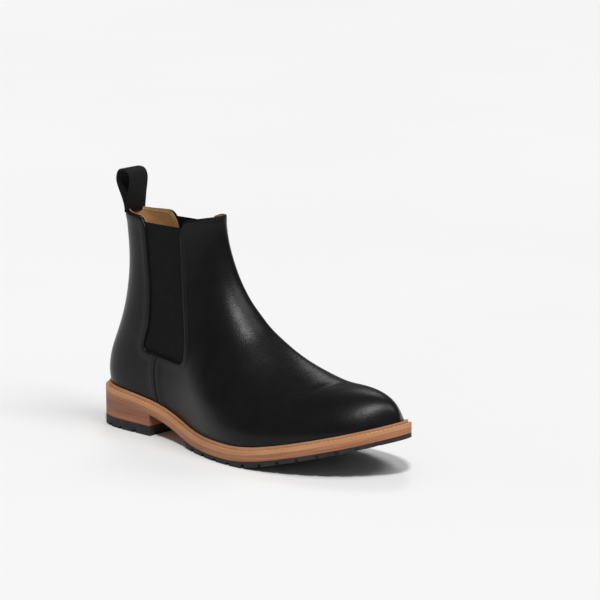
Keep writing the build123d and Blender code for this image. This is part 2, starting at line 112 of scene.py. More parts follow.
# ---- Numbers: smooth curves and runs ----
def spline(points, closed=False):
    """Interpolating cubic through points, as a function of the share of its length."""
    p = np.array(points, float)
    if closed:
        p = np.vstack([p, p[:1]])
    t = np.r_[0, np.cumsum(np.linalg.norm(np.diff(p, axis=0), axis=1))]
    h = np.diff(t)
    n = len(p)
    a, b = np.zeros((n, n)), np.zeros_like(p)
    for i in range(1, n - 1):
        a[i, i - 1:i + 2] = h[i - 1], 2 * (h[i - 1] + h[i]), h[i]
        b[i] = 6 * ((p[i + 1] - p[i]) / h[i] - (p[i] - p[i - 1]) / h[i - 1])
    if closed:
        a[0, 0], a[0, -1] = 1, -1
        a[-1, 0], a[-1, 1], a[-1, -2] = 2 * (h[-1] + h[0]), h[0], h[-1]
        b[-1] = 6 * ((p[1] - p[0]) / h[0] - (p[-1] - p[-2]) / h[-1])
    else:
        a[0, 0] = a[-1, -1] = 1
    m = np.linalg.solve(a, b)

    def at(share):
        u = np.atleast_1d(share) * t[-1]
        i = np.clip(np.searchsorted(t, u, "right") - 1, 0, n - 2)
        left, right, step = (t[i + 1] - u)[:, None], (u - t[i])[:, None], h[i][:, None]
        bend = (m[i] * left ** 3 + m[i + 1] * right ** 3) / (6 * step)
        return (bend + (p[i] / step - m[i] * step / 6) * left
                + (p[i + 1] / step - m[i + 1] * step / 6) * right)
    return at


def run(pairs, where, blur=9.0):
    """Value of a list of pairs, with its corners softened."""
    places, values = np.array(pairs, float).T
    where = np.asarray(where, float)
    steps = np.linspace(-1, 1, 7)
    weights = 1 - 0.8 * steps ** 2
    total = sum(w * np.interp(where + s * blur, places, values) for s, w in zip(steps, weights))
    return total / weights.sum()


def smoothstep(value):
    """From 0 to 1 with no corner at either end."""
    value = np.clip(value, 0, 1)
    return value * value * (3 - 2 * value)


shares = np.linspace(0, 1, 1601)
outline = spline(SOLE_OUTLINE, closed=True)(shares[:-1])
SIDE_SHIFT = -(outline[:, 1].max() + outline[:, 1].min()) / 2
welt_curve, instep, heel_back = (spline(c)(shares) for c in (WELT_TOP, INSTEP, HEEL_BACK))


def along(loop):
    """Unit directions of a closed loop of points."""
    ahead = np.roll(loop, -1, axis=0) - np.roll(loop, 1, axis=0)
    return ahead / np.linalg.norm(ahead, axis=1)[:, None]


def inset_loop(loop, distance):
    """A closed loop moved inwards by a distance."""
    ahead = along(loop)
    return loop + distance * np.column_stack([-ahead[:, 1], ahead[:, 0]])


def welt_top(x):
    """Height of the welt's top."""
    return np.interp(x, welt_curve[:, 0], welt_curve[:, 1])


def middle_line(x):
    """The y of the last's middle, which leans towards the big toe."""
    return TOE_LEAN * run([(0, 0), (60, 0), (LENGTH, 1), (LENGTH + 30, 1.12)], x)


def half_of(loop, lateral):
    """The lateral or medial half of a plan outline, sorted by x."""
    one_side = loop[(loop[:, 1] <= middle_line(loop[:, 0])) == lateral]
    return one_side[one_side[:, 0].argsort()]


feather = inset_loop(outline, WELT_WIDTH)
feather_lateral, feather_medial = half_of(feather, True), half_of(feather, False)
sole_x = np.linspace(INSTEP[0][0], HEEL_BACK[0][0], 900)
underside = np.vstack([np.column_stack([sole_x, welt_top(sole_x) - SOLE_MARGIN]), heel_back[1:]])


def by_station(curve):
    """A curve sorted by x - z, for the slanted planes that the last is measured in."""
    order = (curve[:, 0] - curve[:, 1]).argsort()
    return (curve[:, 0] - curve[:, 1])[order], curve[order]


LOW, CROWN = by_station(underside), by_station(instep)


def ends(c):
    """The low end and the crown of each station, in side view."""
    low = np.column_stack([np.interp(c, LOW[0], LOW[1][:, i]) for i in (0, 1)])
    crown = np.column_stack([np.interp(c, CROWN[0], CROWN[1][:, i]) for i in (0, 1)])
    return low, crown


def feather_share(c):
    """Share of the way up a section at which it passes the welt's top."""
    low, crown = ends(np.array([c]))
    way = np.linspace(0, 1, 500)
    points = low + way[:, None] * (crown - low)
    above = points[:, 1] - welt_top(points[:, 0])
    return float(np.interp(0, above, way)) if above[0] < 0 else 0.0


STATIONS = np.arange(-206.0, 262.0, 1.0)
FEATHER_SHARES = np.array([feather_share(c) for c in STATIONS])


def flat_section(c, theta):
    """Across the slanted plane c: the slant coordinate and y. Theta 0 is the low end, pi the crown."""
    low, crown = ends(c)
    share = (1 - np.cos(theta)) / 2
    x, z = (low + share[:, None] * (crown - low)).T
    above = z - welt_top(x)
    span = np.linalg.norm(crown - low, axis=1)
    depth = span * (1 - np.interp(c, STATIONS, FEATHER_SHARES)) * run(CROWN_DEPTH, c)
    closing = 1 - (1 - np.clip(span * (1 - share) / depth, 0, 1)) ** run(CROWN_POWER, c)
    closing = np.clip(closing, 0, 1) ** (1 / run(CROWN_ROOT, c))
    back = np.interp(z, heel_back[:, 1], heel_back[:, 0])
    fade = run(STRETCH_FADE, x)
    plan_x = fade * (5 + run(STRETCH, z) * (x - back)) + (1 - fade) * x
    lateral = np.mod(theta, TAU) < math.pi
    edge = np.where(lateral, np.interp(plan_x, *feather_lateral.T),
                    np.interp(plan_x, *feather_medial.T))
    below = np.clip(-above / SOLE_MARGIN, 0, 1)
    wall = (edge - middle_line(x)) * run(FULLNESS, above, 5.0) * closing
    return np.column_stack([z * math.sqrt(2), middle_line(x) + wall * np.sqrt(1 - below ** 4)])


def on_last(c, theta, inset=0.0):
    """Points on the last in millimetres, moved inwards by an inset within their section."""
    c, theta = np.asarray(c, float), np.asarray(theta, float)
    step = 0.02
    flat = flat_section(c, theta)
    ahead = flat_section(c, theta + step) - flat_section(c, theta - step)
    ahead /= np.maximum(np.linalg.norm(ahead, axis=1), 1e-9)[:, None]
    flat = flat + np.asarray(inset).reshape(-1, 1) * np.column_stack([-ahead[:, 1], ahead[:, 0]])
    z = flat[:, 0] / math.sqrt(2)
    return np.column_stack([c + z, flat[:, 1], z])


def outward(c, theta):
    """Unit normals of the last, pointing out."""
    across = on_last(c, theta + 0.02) - on_last(c, theta - 0.02)
    forward = on_last(c + 0.8, theta) - on_last(c - 0.8, theta)
    normal = np.cross(forward, across)
    normal /= np.maximum(np.linalg.norm(normal, axis=1), 1e-9)[:, None]
    return normal


def station_angle(x, z, lateral=True):
    """The c and theta of side-view points."""
    x, z = np.asarray(x, float), np.asarray(z, float)
    low, crown = ends(x - z)
    share = ((x - low[:, 0]) + (z - low[:, 1])) / (crown - low).sum(axis=1)
    theta = np.arccos(1 - 2 * np.clip(share, 0, 1))
    return x - z, theta if lateral else TAU - theta


def rounded(points, radii, steps=7):
    """A side-view line with its inner corners rounded, as a dense run of points."""
    p = [np.array(q, float) for q in points]
    out = [p[0]]
    for i, radius in enumerate(radii, 1):
        back, ahead = p[i - 1] - p[i], p[i + 1] - p[i]
        back_length, ahead_length = np.linalg.norm(back), np.linalg.norm(ahead)
        cosine = np.clip(back @ ahead / back_length / ahead_length, -1, 1)
        reach = radius / math.tan(max(math.acos(cosine) / 2, 0.05))
        reach = min(reach, 0.48 * back_length, 0.48 * ahead_length)
        start, end = p[i] + back / back_length * reach, p[i] + ahead / ahead_length * reach
        for s in np.linspace(0, 1, steps):
            out.append((1 - s) ** 2 * start + 2 * s * (1 - s) * p[i] + s * s * end)
    out.append(p[-1])
    return np.array(out)


def even(points, spacing):
    """The same line with points about a spacing apart."""
    points = np.asarray(points, float)
    keep = np.r_[True, np.linalg.norm(np.diff(points, axis=0), axis=1) > 1e-6]
    points = points[keep]
    s = np.r_[0, np.cumsum(np.linalg.norm(np.diff(points, axis=0), axis=1))]
    at = np.linspace(0, s[-1], max(2, int(round(s[-1] / spacing)) + 1))
    return np.column_stack([np.interp(at, s, points[:, i]) for i in range(points.shape[1])])


def shifted(points, distance):
    """A side-view line moved to its left by a distance."""
    ahead = np.gradient(points, axis=0)
    ahead /= np.linalg.norm(ahead, axis=1)[:, None]
    return points + distance * np.column_stack([-ahead[:, 1], ahead[:, 0]])


def front_top(x):
    """Height of the front panel's top edge."""
    return np.interp(x, *spline(FRONT_TOP)(shares).T)


# ---- Meshes ----
def to_frame(points):
    """Millimetres from the heel's back to metres in the frame."""
    return (np.asarray(points, float) + (-LENGTH / 2, SIDE_SHIFT, 0)) * MM


def make_mesh(name, points, faces, finish):
    """A smooth-shaded piece from points in millimetres."""
    data = bpy.data.meshes.new(name)
    data.from_pydata(to_frame(points).tolist(), [], [tuple(map(int, f)) for f in faces])
    data.validate()
    data.update()
    for polygon in data.polygons:
        polygon.use_smooth = True
    piece = bpy.data.objects.new(name, data)
    bpy.context.collection.objects.link(piece)
    data.materials.append(finish)
    return piece


def grid_faces(rows, columns, close_columns=False, start=0):
    """Four-sided faces of a grid of points, whose last column may join the first."""
    faces = []
    for r in range(rows - 1):
        for k in range(columns if close_columns else columns - 1):
            k2 = (k + 1) % columns
            faces.append((start + r * columns + k, start + r * columns + k2,
                          start + (r + 1) * columns + k2, start + (r + 1) * columns + k))
    return faces


def strip_faces(rows, columns):
    """Faces of a closed strip: a grid, an equal grid behind it, and the rim that joins them."""
    size = rows * columns
    front = grid_faces(rows, columns)
    behind = [tuple(i + size for i in f[::-1]) for f in front]
    rim = list(range(columns)) + [r * columns + columns - 1 for r in range(1, rows)]
    rim += [(rows - 1) * columns + k for k in range(columns - 2, -1, -1)]
    rim += [r * columns for r in range(rows - 2, 0, -1)]
    return front + behind + [(a, b, b + size, a + size) for a, b in zip(rim, rim[1:] + rim[:1])]


def inside(points, polygon):
    """Which points lie in a polygon, counting the sides crossed on the way out."""
    px, py = points[:, 0][:, None], points[:, 1][:, None]
    x0, y0 = polygon.T
    x1, y1 = np.roll(polygon, -1, axis=0).T
    rising = (y0 > py) != (y1 > py)
    with np.errstate(divide="ignore", invalid="ignore"):
        crossing = x0 + (py - y0) * (x1 - x0) / (y1 - y0)
    return ((rising & (px < crossing)).sum(axis=1) % 2) == 1


def nearest(points, targets):
    """Distance from each point to the nearest of the targets."""
    tree = KDTree(len(targets))
    for i, target in enumerate(targets):
        tree.insert(target, i)
    tree.balance()
    return np.array([tree.find(p)[2] for p in points])


ANGLE_SCALE = 48.0   # millimetres of panel for a radian, so that the flat pattern is about true


def pattern(c, theta):
    """Flat coordinates of the last's face, in which a panel's outline is drawn and filled."""
    return np.column_stack([c / math.sqrt(2), theta * ANGLE_SCALE])


def unpattern(flat):
    return flat[:, 0] * math.sqrt(2), flat[:, 1] / ANGLE_SCALE


EDGE_ROWS = (0.35, 0.8, 1.4, 2.2, 3.2, 4.4, 5.8)   # distances from an edge, where its relief changes


def shell(name, boundary, rows, spacing, relief, back, finish):
    """A closed skin between an outer and an inner face, within a boundary in the pattern.
    rows are points wanted near the edges and folds. relief and back give the two faces' insets from
    the points' places and their distances from the boundary."""
    centre = on_last(*unpattern(boundary))
    low, high = boundary.min(axis=0), boundary.max(axis=0)
    across = np.arange(low[0] + spacing, high[0], spacing)
    up = np.arange(low[1] + spacing, high[1], spacing)
    grid = np.array([(a, b + (i % 2) * spacing / 2) for i, a in enumerate(across) for b in up])
    grid = grid[inside(grid, boundary)]
    rows = rows[inside(rows, boundary)]
    row_places, grid_places = on_last(*unpattern(rows)), on_last(*unpattern(grid))
    rows = rows[nearest(row_places, centre) > 0.3]
    row_places = on_last(*unpattern(rows))
    clear = nearest(grid_places, np.vstack([centre, row_places])) > 0.55 * spacing
    points = np.vstack([boundary, rows, grid[clear]])
    made = delaunay_2d_cdt([Vector(p) for p in points], [], [list(range(len(boundary)))], 1, 1e-4)
    flat, triangles = np.array([tuple(v) for v in made[0]]), [tuple(f) for f in made[2]]
    c, theta = unpattern(flat)
    places = on_last(c, theta)
    edge_distance = nearest(places, centre)
    outer = on_last(c, theta, relief(places, edge_distance))
    inner = on_last(c, theta, back(places, edge_distance))
    count = len(flat)
    edges = {}
    for a, b, d in triangles:
        for edge in ((a, b), (b, d), (d, a)):
            edges[edge] = edges.get(edge, 0) + 1
    rims = [(a, b) for a, b in edges if (b, a) not in edges]
    faces = [t[::-1] for t in triangles] + [tuple(i + count for i in t) for t in triangles]
    faces += [(a, b, b + count, a + count) for a, b in rims]
    piece = make_mesh(name, np.vstack([outer, inner]), faces, finish)
    tidy_normals(piece)
    return piece


def tidy_normals(piece, sharp=55.0):
    """Faces point outwards, and only hard corners stay sharp."""
    work = bmesh.new()
    work.from_mesh(piece.data)
    bmesh.ops.remove_doubles(work, verts=work.verts, dist=2e-6)
    bmesh.ops.recalc_face_normals(work, faces=work.faces)
    work.to_mesh(piece.data)
    work.free()
    piece.data.set_sharp_from_angle(angle=math.radians(sharp))


def both_sides(line):
    """A side-view line on the lateral and the medial face, in the pattern."""
    x, z = np.asarray(line).T
    return [pattern(*station_angle(x, z, side)) for side in (True, False)]


# ---- Materials ----
CURVE_TOP = 50.0   # the height that stands for 1 in the welt line's curve node


def srgb(*rgb):
    """A linear colour from screen values between 0 and 255."""
    linear = [v / 255 / 12.92 if v <= 10 else ((v / 255 + 0.055) / 1.055) ** 2.4 for v in rgb]
    return (*linear, 1.0)


def level_with_welt(nodes, links, position):
    """Coordinates whose height is measured from the welt's line, so that layers follow the sole."""
    parts = nodes.new("ShaderNodeSeparateXYZ")
    links.new(position, parts.inputs["Vector"])
    length = nodes.new("ShaderNodeMapRange")
    length.inputs["From Min"].default_value = -LENGTH / 2 * MM
    length.inputs["From Max"].default_value = LENGTH / 2 * MM
    links.new(parts.outputs["X"], length.inputs["Value"])
    line = nodes.new("ShaderNodeFloatCurve")
    curve = line.mapping.curves[0]
    stops = np.linspace(0, 1, 13)
    heights = welt_top(stops * LENGTH) / CURVE_TOP
    curve.points[0].location = (stops[0], heights[0])
    curve.points[-1].location = (stops[-1], heights[-1])
    for stop, height in zip(stops[1:-1], heights[1:-1]):
        curve.points.new(stop, height)
    line.mapping.update()
    links.new(length.outputs["Result"], line.inputs["Value"])
    drop = nodes.new("ShaderNodeMath")
    drop.operation = "MULTIPLY_ADD"
    drop.inputs[1].default_value = -CURVE_TOP * MM
    links.new(line.outputs["Value"], drop.inputs[0])
    links.new(parts.outputs["Z"], drop.inputs[2])
    level = nodes.new("ShaderNodeCombineXYZ")
    links.new(parts.outputs["X"], level.inputs["X"])
    links.new(parts.outputs["Y"], level.inputs["Y"])
    links.new(drop.outputs["Value"], level.inputs["Z"])
    return level.outputs["Vector"]


def material(name, dark, light, roughness, patches=0.12, stretch=(1, 1, 1), bumps=(), shine=0.5,
             speckle=0.0, along_sole=False):
    """A node material in millimetres: blotches from dark to light, and bumps of (kind, scale, height).
    roughness is (least, most), stretch multiplies the pattern's coordinates, and speckle adds dark spots."""
    made = bpy.data.materials.new(name)
    made.use_nodes = True
    nodes, links = made.node_tree.nodes, made.node_tree.links
    shader = nodes["Principled BSDF"]
    place = nodes.new("ShaderNodeTexCoord")
    scaled = nodes.new("ShaderNodeMapping")
    scaled.inputs["Scale"].default_value = tuple(1000 * s for s in stretch)
    position = place.outputs["Object"]
    if along_sole:
        position = level_with_welt(nodes, links, position)
    links.new(position, scaled.inputs["Vector"])

    def texture(kind, scale, detail=3.0):
        node = nodes.new("ShaderNodeTexVoronoi" if kind == "cells" else "ShaderNodeTexNoise")
        node.inputs["Scale"].default_value = scale
        if kind != "cells":
            node.inputs["Detail"].default_value = detail
        links.new(scaled.outputs["Vector"], node.inputs["Vector"])
        return node.outputs["Distance" if kind == "cells" else "Fac"]

    blotches = texture("noise", patches, 5.0)
    spread = nodes.new("ShaderNodeMapRange")
    spread.inputs["From Min"].default_value, spread.inputs["From Max"].default_value = 0.3, 0.7
    links.new(blotches, spread.inputs["Value"])
    colours = nodes.new("ShaderNodeMix")
    colours.data_type = "RGBA"
    colours.inputs["A"].default_value, colours.inputs["B"].default_value = dark, light
    links.new(spread.outputs["Result"], colours.inputs["Factor"])
    colour = colours.outputs["Result"]
    if speckle:
        fine = nodes.new("ShaderNodeMapRange")
        fine.inputs["From Min"].default_value, fine.inputs["From Max"].default_value = 0.35, 0.65
        fine.inputs["To Min"].default_value = 1 - speckle
        links.new(texture("noise", 1.6, 4.0), fine.inputs["Value"])
        shade = nodes.new("ShaderNodeMix")
        shade.data_type, shade.blend_type = "RGBA", "MULTIPLY"
        shade.inputs["Factor"].default_value = 1.0
        links.new(colour, shade.inputs["A"])
        links.new(fine.outputs["Result"], shade.inputs["B"])
        colour = shade.outputs["Result"]
    links.new(colour, shader.inputs["Base Color"])
    gloss = nodes.new("ShaderNodeMapRange")
    gloss.inputs["To Min"].default_value, gloss.inputs["To Max"].default_value = roughness
    links.new(texture("noise", patches * 3, 3.0), gloss.inputs["Value"])
    links.new(gloss.outputs["Result"], shader.inputs["Roughness"])
    last = None
    for kind, scale, height in bumps:
        bump = nodes.new("ShaderNodeBump")
        bump.inputs["Distance"].default_value = height * MM
        links.new(texture(kind, scale, 4.0), bump.inputs["Height"])
        if last is not None:
            links.new(last, bump.inputs["Normal"])
        last = bump.outputs["Normal"]
    if last is not None:
        links.new(last, shader.inputs["Normal"])
    shader.inputs["Specular IOR Level"].default_value = shine
    return made


BLACK_LEATHER = material("black_leather", srgb(14, 14, 15), srgb(20, 20, 21), (0.27, 0.35), 0.05,
                         bumps=[("cells", 1.3, 0.05), ("noise", 0.35, 0.10)], shine=0.18)
GORE_ELASTIC = material("gore_elastic", srgb(13, 13, 14), srgb(19, 19, 20), (0.72, 0.85), 0.2,
                        bumps=[("noise", 2.5, 0.10)], shine=0.2)
BLACK_THREAD = material("black_thread", srgb(20, 20, 21), srgb(30, 30, 31), (0.45, 0.6), 0.5,
                        bumps=[("noise", 4.0, 0.05)], shine=0.4)
CREAM_THREAD = material("cream_thread", srgb(196, 158, 118), srgb(224, 190, 150), (0.55, 0.7), 0.4,
                        bumps=[("noise", 4.0, 0.08)])
WELT_LEATHER = material("welt_leather", srgb(186, 128, 86), srgb(212, 156, 112), (0.42, 0.6), 0.09,
                        stretch=(0.3, 0.3, 5), bumps=[("noise", 0.5, 0.08)], speckle=0.14, shine=0.4,
                        along_sole=True)
EDGE_LEATHER = material("edge_leather", srgb(150, 93, 61), srgb(192, 134, 95), (0.42, 0.6), 0.09,
                        stretch=(0.25, 0.25, 9), bumps=[("noise", 0.4, 0.12)], speckle=0.26, shine=0.4,
                        along_sole=True)
HEEL_LEATHER = material("heel_leather", srgb(134, 84, 60), srgb(156, 103, 77), (0.42, 0.6), 0.08,
                        stretch=(0.35, 0.35, 8), bumps=[("noise", 0.35, 0.12)], speckle=0.2, shine=0.4)
HEEL_LEATHER_PALE = material("heel_leather_pale", srgb(150, 92, 62), srgb(184, 122, 86), (0.42, 0.6),
                             0.08, stretch=(0.35, 0.35, 8), bumps=[("noise", 0.35, 0.12)],
                             speckle=0.26, shine=0.4)
RUBBER = material("rubber", srgb(36, 36, 38), srgb(48, 48, 51), (0.62, 0.8), 0.1,
                  bumps=[("noise", 1.5, 0.06)], shine=0.3)
LINING = material("lining_leather", srgb(160, 114, 70), srgb(200, 152, 100), (0.55, 0.72), 0.07,
                  bumps=[("cells", 1.1, 0.08), ("noise", 0.3, 0.12)], speckle=0.15)
CANVAS = material("canvas", srgb(190, 180, 158), srgb(214, 205, 184), (0.8, 0.92), 0.2,
                  bumps=[("noise", 3.0, 0.1)])
WEBBING = material("webbing", srgb(15, 15, 16), srgb(25, 25, 26), (0.6, 0.75), 0.3,
                   stretch=(1, 2.2, 1), bumps=[("cells", 0.9, 0.35)], shine=0.2)
CORK = material("cork", srgb(140, 98, 60), srgb(182, 138, 92), (0.8, 0.95), 0.5,
                bumps=[("cells", 0.7, 0.3)], speckle=0.4)
FOAM = material("foam", srgb(206, 196, 160), srgb(222, 212, 180), (0.85, 0.95), 0.3,
                bumps=[("cells", 1.6, 0.2)])
STEEL = material("steel", srgb(120, 122, 126), srgb(150, 152, 156), (0.3, 0.42), 0.3,
                 bumps=[("noise", 1.0, 0.02)])
BRASS = material("brass", srgb(176, 140, 70), srgb(200, 164, 92), (0.25, 0.38), 0.5,
                 bumps=[("noise", 1.5, 0.02)])
for metal in (STEEL, BRASS):
    metal.node_tree.nodes["Principled BSDF"].inputs["Metallic"].default_value = 1.0

CAD_MATERIALS = {
    "heel_nails": BRASS, "heel_top_lift": RUBBER, "heel_lift_lower": HEEL_LEATHER_PALE,
    "heel_lift_upper": HEEL_LEATHER, "midsole": EDGE_LEATHER, "forefoot_tread": RUBBER,
    "welt_stitching": CREAM_THREAD, "welt": WELT_LEATHER, "shank": STEEL, "cork_filler": CORK,
    "insole_rib": CANVAS, "insole_board": LINING, "footbed_foam": FOAM, "footbed_leather": LINING,
    "toe_puff": CANVAS, "heel_counter": CANVAS, "pull_tab_anchor": WEBBING,
    "front_interlining": CANVAS, "back_interlining": CANVAS, "front_lining": LINING,
    "back_lining": LINING, "pull_tab": WEBBING, "front_panel": BLACK_LEATHER,
    "back_panel": BLACK_LEATHER, "lateral_gore": GORE_ELASTIC, "medial_gore": GORE_ELASTIC,
}
for node, node_finish in CAD_MATERIALS.items():
    node_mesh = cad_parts[node].data
    node_mesh.materials.clear()
    node_mesh.materials.append(node_finish)

# ---- The upper's edges, in side view ----
HIDDEN = 2.4         # how far the upper goes down behind the welt's bead
LINE_SPACING = 0.8   # between the points of an edge
gore_front = even(rounded(GORE_FRONT, GORE_FRONT_RADII), LINE_SPACING)
gore_rear = even(rounded(GORE_REAR, GORE_REAR_RADII), LINE_SPACING)
seam = even(spline(SIDE_SEAM)(shares), LINE_SPACING)
seam = seam[seam[:, 1] > welt_top(seam[:, 0]) - HIDDEN]
gore_front = gore_front[gore_front[:, 1] < front_top(gore_front[:, 0])]
gore_rear = gore_rear[gore_rear[:, 1] < BACK_TOP]


def crown_crossing():
    """Where the instep's curve passes the front panel's top, in side view."""
    near = instep[(instep[:, 0] < 135) & (instep[:, 1] > 150)]
    above = near[:, 1] - front_top(near[:, 0])
    return np.array([np.interp(0, above, near[:, i]) for i in (0, 1)])


crown_top = crown_crossing()
collar_x = np.linspace(gore_front[-1, 0], crown_top[0], 80)
front_collar = even(np.column_stack([collar_x, front_top(collar_x)]), LINE_SPACING)
back_top_x = float(np.interp(BACK_TOP, heel_back[:, 1], heel_back[:, 0]))
back_collar = even([(gore_rear[0, 0], BACK_TOP), (back_top_x, BACK_TOP)], LINE_SPACING)


def welt_path(start, end, lateral):
    """The upper's lower edge behind the welt's bead, in the pattern, between two stations."""
    stations = np.arange(start, end, 1.0 if end > start else -1.0)
    low, crown = ends(stations)
    way = np.linspace(0, 1, 800)
    found = []
    for a, b in zip(low, crown):
        x, z = (a + way[:, None] * (b - a)).T
        height = z - welt_top(x) + HIDDEN
        share = np.interp(0, height, way) if height[0] < 0 else 0.0
        found.append(math.acos(1 - 2 * share))
    theta = np.array(found)
    return pattern(stations, theta if lateral else TAU - theta)


def loop_of(*parts):
    """One closed outline from its parts, without points on top of each other."""
    joined = np.vstack(parts)
    apart = np.linalg.norm(joined - np.roll(joined, 1, axis=0), axis=1)
    return joined[apart > 0.15]


def round_corner(first, second, reach=4.5, steps=9):
    """Two side-view lines that meet, with the corner between them rounded off."""
    far_a = np.linalg.norm(first - first[-1], axis=1)
    far_b = np.linalg.norm(second - second[0], axis=1)
    a, b = first[far_a > reach], second[far_b > reach]
    corner = (first[-1] + second[0]) / 2
    s = np.linspace(0, 1, steps)[:, None]
    bend = (1 - s) ** 2 * a[-1] + 2 * s * (1 - s) * corner + s * s * b[0]
    middle = steps // 2
    return np.vstack([a[:-1], bend[:middle + 1]]), np.vstack([bend[middle:], b[1:]])


gore_front, front_collar = round_corner(gore_front, front_collar)
rear_up, back_collar = round_corner(gore_rear[::-1], back_collar)
gore_rear = rear_up[::-1]
seam_up = seam[seam[:, 1].argsort()]
seam_foot = seam_up[0, 0] - seam_up[0, 1]
side_edges = {}
for lateral in (True, False):
    side_edges[lateral] = {
        "seam": pattern(*station_angle(*seam_up.T, lateral)),
        "front": pattern(*station_angle(*gore_front.T, lateral)),
        "collar": pattern(*station_angle(*front_collar.T, lateral)),
        "rear": pattern(*station_angle(*gore_rear[::-1].T, lateral)),
        "back": pattern(*station_angle(*back_collar.T, lateral)),
    }
outer_side, inner_side = side_edges[True], side_edges[False]
front_boundary = loop_of(
    welt_path(TOE_STATION, seam_foot, True),
    outer_side["seam"], outer_side["front"], outer_side["collar"],
    inner_side["collar"][::-1], inner_side["front"][::-1], inner_side["seam"][::-1],
    welt_path(seam_foot, TOE_STATION, False))


def round_the_back(flat):
    """Medial angles as negative ones, so that the back panel is one piece of pattern."""
    return flat - (0, TAU * ANGLE_SCALE)


HEEL_STATION = -24.0   # where the heel's back passes the welt's top
medial_seam, medial_rear, medial_back = (round_the_back(inner_side[k]) for k in ("seam", "rear", "back"))
lateral_foot = welt_path(seam_foot, HEEL_STATION, True)
medial_foot = round_the_back(welt_path(seam_foot, HEEL_STATION, False))
back_boundary = loop_of(
    outer_side["seam"][::-1], lateral_foot, medial_foot[::-1], medial_seam, medial_rear, medial_back,
    outer_side["back"][::-1], outer_side["rear"][::-1])


def edge_rows(line, sign):
    """Points in rows beside a side-view line, on both faces."""
    beside = [even(shifted(line, sign * d), 1.2 if d < 2 else 1.8) for d in EDGE_ROWS]
    return np.vstack([side for row in beside for side in both_sides(row)])


# ---- Relief of the leather ----
def folded_edge(distance, width=5.2, height=0.42):
    """Inset of a folded and stitched edge: rounded at the rim, proud for its width, then flush."""
    rim = 0.75 * np.clip(1 - distance / 1.1, 0, 1) ** 2
    return rim - height * smoothstep((width + 1.6 - distance) / 2.2)


CREASE = [(219, 57.0), (224, 59.0), (230, 61.4), (237, 65.0), (243.6, 67.0)]
crease_line = even(spline(CREASE)(shares), 1.0)
crease_places = on_last(*station_angle(*crease_line.T))


def ripples(places):
    """Slight unevenness of lasted leather, in millimetres, more over the flex of the foot."""
    x, y, z = places.T
    flex = np.exp(-((x - 222) / 26) ** 2)
    ankle = np.exp(-((x - 150) / 34) ** 2) * np.exp(-((z - 88) / 34) ** 2)
    wave = np.sin(x / 7.5 + z / 13 + 0.8 * np.sin(y / 11)) * np.sin(y / 9.5 + 1.2)
    slow = np.sin(x / 19 + y / 23) * np.sin(z / 17 - y / 29 + 0.7)
    folds = np.sin((x - z) / 6.5 + 0.6 * np.sin(y / 8))
    return 0.10 * slow + 0.10 * flex * wave + 0.14 * ankle * folds


def crease_depth(places):
    """The one crease over the toe joint: a groove with a soft swell on each side."""
    away = nearest(places, crease_places)
    return 0.42 * np.exp(-(away / 2.6) ** 2) - 0.16 * np.exp(-((away - 6.5) / 3.2) ** 2)


def places_of(*lines):
    """Places on the last of lines in the pattern."""
    return on_last(*unpattern(np.vstack(lines)))


front_folds = places_of(*(edges[k] for edges in (outer_side, inner_side)
                          for k in ("seam", "front", "collar")))
back_folds = places_of(*(outer_side[k] for k in ("seam", "rear", "back")),
                       medial_seam, medial_rear, medial_back)
collar_places = places_of(outer_side["collar"], inner_side["collar"], outer_side["back"], medial_back)


def front_relief(places, edge_distance):
    return folded_edge(nearest(places, front_folds)) + crease_depth(places) - ripples(places)


def back_relief(places, edge_distance):
    return folded_edge(nearest(places, back_folds)) - ripples(places)


def leather_back(places, edge_distance):
    """The flesh side: 1.7 mm in, and 3.1 mm in where the top edge is turned over."""
    top = np.clip(1 - (nearest(places, collar_places) - 2.0) / 1.0, 0, 1)
    return 1.7 + 1.4 * top


CREASE_ROWS = (-9, -7.2, -5.5, -4.2, -3, -2, -1, 0, 1, 2, 3, 4.2, 5.5, 7.2, 9)
PANEL_SPACING, LINING_SPACING = 2.3, 2.6   # between the points of a panel's or a lining's mesh
crease_rows = np.vstack([pattern(*station_angle(*shifted(crease_line, d).T)) for d in CREASE_ROWS])
front_rows = np.vstack([
    edge_rows(seam_up, -1), edge_rows(gore_front, -1), edge_rows(front_collar, -1), crease_rows])
front_panel = shell("front_panel_leather", front_boundary, front_rows, PANEL_SPACING, front_relief,
                    leather_back, BLACK_LEATHER)
rear_rows = np.vstack([edge_rows(seam_up, 1), edge_rows(gore_rear[::-1], 1), edge_rows(back_collar, 1)])
on_medial_side = rear_rows[:, 1] > math.pi * ANGLE_SCALE
rear_rows[on_medial_side] = round_the_back(rear_rows[on_medial_side])
back_panel = shell("back_panel_leather", back_boundary, rear_rows, PANEL_SPACING, back_relief,
                   leather_back, BLACK_LEATHER)


# ---- Elastic gores ----
GORE_LOW, GORE_TOP = 61.0, 172.0    # the elastic's lower and upper ends
GORE_FOOT = 74.0                    # below this the elastic keeps its width
GORE_ROWS = 58
GORE_TUCK = 5.0                     # how far it goes under each panel
GORE_OUTSIDE, GORE_INSIDE = 2.0, 3.1    # insets of its two faces from the last
RIB_PITCH, RIB_HEIGHT = 1.05, 0.20
POINTS_PER_RIB = 4


